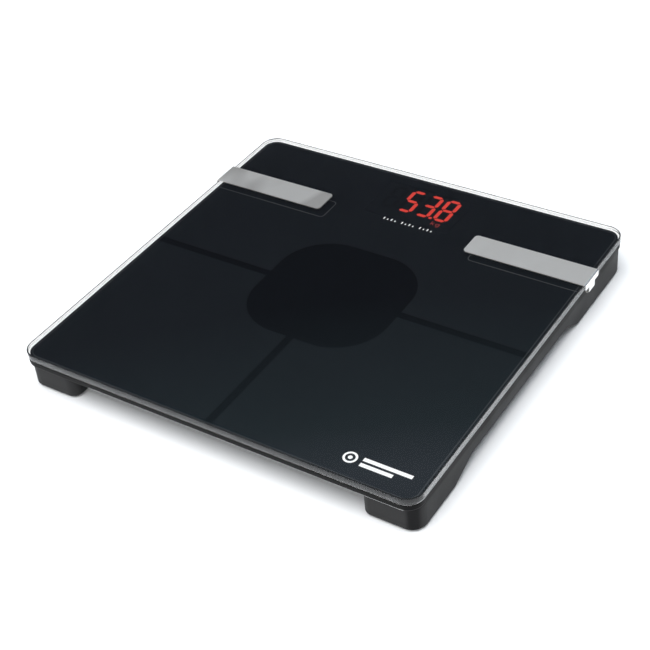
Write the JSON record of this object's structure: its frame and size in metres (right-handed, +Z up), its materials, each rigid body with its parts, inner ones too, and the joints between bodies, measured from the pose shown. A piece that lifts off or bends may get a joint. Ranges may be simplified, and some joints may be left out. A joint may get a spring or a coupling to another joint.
{
  "type": "digital bathroom scale",
  "caption": "Square glass-topped digital body scale with two steel electrode strips, a red segment display, a dark casing on corner blocks with sprung weighing feet.",
  "frame": {"origin": "on the floor, under the centre of the scale", "axes": "+Z up, +Y from the standing edge towards the display, +X to the right of the user"},
  "size_m": [0.304, 0.3, 0.0306],
  "materials": {
    "glass": "clear tempered float glass with a ground and polished edge",
    "black_enamel": "black enamel seen through the glass, with slightly lighter electrode zones",
    "white_enamel": "narrow white enamel border seen through the glass",
    "white_foam": "white closed-cell foam bonding tape",
    "mask": "matte black display mask",
    "lit_red": "red light guide, lit",
    "smoked": "smoked light guide, unlit",
    "display_plastic": "white reflector plastic",
    "tinned_steel": "tinned leads and end caps",
    "black_foam": "black foam",
    "circuit_board": "green solder mask on glass laminate",
    "chip_plastic": "black moulding compound",
    "casing": "dark grey fine-textured moulded ABS",
    "contact_steel": "nickel-plated spring steel",
    "clear_adhesive": "thin clear adhesive",
    "screw_steel": "zinc-plated steel screws",
    "battery_jacket": "plain printed battery jacket",
    "electrode_steel": "satin stainless steel, brushed along its length",
    "lead_red": "red insulated lead",
    "lead_white": "white insulated lead",
    "pad_rubber": "black anti-slip rubber",
    "foot_plastic": "black moulded plastic",
    "cell_steel": "stamped spring steel"
  },
  "bodies": {
    "root": {"base_casing": "casing", "battery_1": "battery_jacket", "battery_2": "battery_jacket", "battery_3": "battery_jacket", "board_chips": "chip_plastic", "board_passives": "tinned_steel", "board_screws": "screw_steel", "bonding_tape": "white_foam", "border_print": "white_enamel", "contact_plates": "contact_steel", "contact_springs": "contact_steel", "display_foam": "black_foam", "display_housing": "display_plastic", "display_leads": "tinned_steel", "display_mask": "mask", "electrode_lead_left": "lead_white", "electrode_lead_right": "lead_white", "electrode_strip_left": "electrode_steel", "electrode_strip_right": "electrode_steel", "glass_platform": "glass", "glass_print": "black_enamel", "lit_segments": "lit_red", "load_cell_frame_back_left": "cell_steel", "load_cell_frame_back_right": "cell_steel", "load_cell_frame_front_left": "cell_steel", "load_cell_frame_front_right": "cell_steel", "load_cell_holder_back_left": "foot_plastic", "load_cell_holder_back_right": "foot_plastic", "load_cell_holder_front_left": "foot_plastic", "load_cell_holder_front_right": "foot_plastic", "load_cell_lead_back_left": "lead_red", "load_cell_lead_back_right": "lead_red", "load_cell_lead_front_left": "lead_red", "load_cell_lead_front_right": "lead_red", "load_cell_screws": "screw_steel", "main_board": "circuit_board", "strip_adhesive": "clear_adhesive", "tact_switch": "chip_plastic", "unlit_segments": "smoked"},
    "foot_front_left": {"foot_cap_front_left": "foot_plastic", "foot_pad_front_left": "pad_rubber", "load_cell_tongue_front_left": "cell_steel"},
    "foot_front_right": {"foot_cap_front_right": "foot_plastic", "foot_pad_front_right": "pad_rubber", "load_cell_tongue_front_right": "cell_steel"},
    "foot_back_left": {"foot_cap_back_left": "foot_plastic", "foot_pad_back_left": "pad_rubber", "load_cell_tongue_back_left": "cell_steel"},
    "foot_back_right": {"foot_cap_back_right": "foot_plastic", "foot_pad_back_right": "pad_rubber", "load_cell_tongue_back_right": "cell_steel"},
    "unit_button": {"unit_button": "casing", "switch_plunger": "mask"},
    "battery_door": {"battery_door": "casing"}
  },
  "joints": [
    {"name": "foot_front_left_press", "type": "slide", "parent": "root", "child": "foot_front_left", "axis": [0, 0, 1], "range_m": [0, 0.0006], "stiffness_N_per_m": 8000},
    {"name": "foot_front_right_press", "type": "slide", "parent": "root", "child": "foot_front_right", "axis": [0, 0, 1], "range_m": [0, 0.0006], "stiffness_N_per_m": 8000},
    {"name": "foot_back_left_press", "type": "slide", "parent": "root", "child": "foot_back_left", "axis": [0, 0, 1], "range_m": [0, 0.0006], "stiffness_N_per_m": 8000},
    {"name": "foot_back_right_press", "type": "slide", "parent": "root", "child": "foot_back_right", "axis": [0, 0, 1], "range_m": [0, 0.0006], "stiffness_N_per_m": 8000},
    {"name": "unit_button_press", "type": "slide", "parent": "root", "child": "unit_button", "axis": [0, 0, 1], "range_m": [0, 0.0008], "stiffness_N_per_m": 600},
    {"name": "battery_door_slide", "type": "slide", "parent": "root", "child": "battery_door", "axis": [0, -1, 0], "range_m": [0, 0.044]}
  ]
}
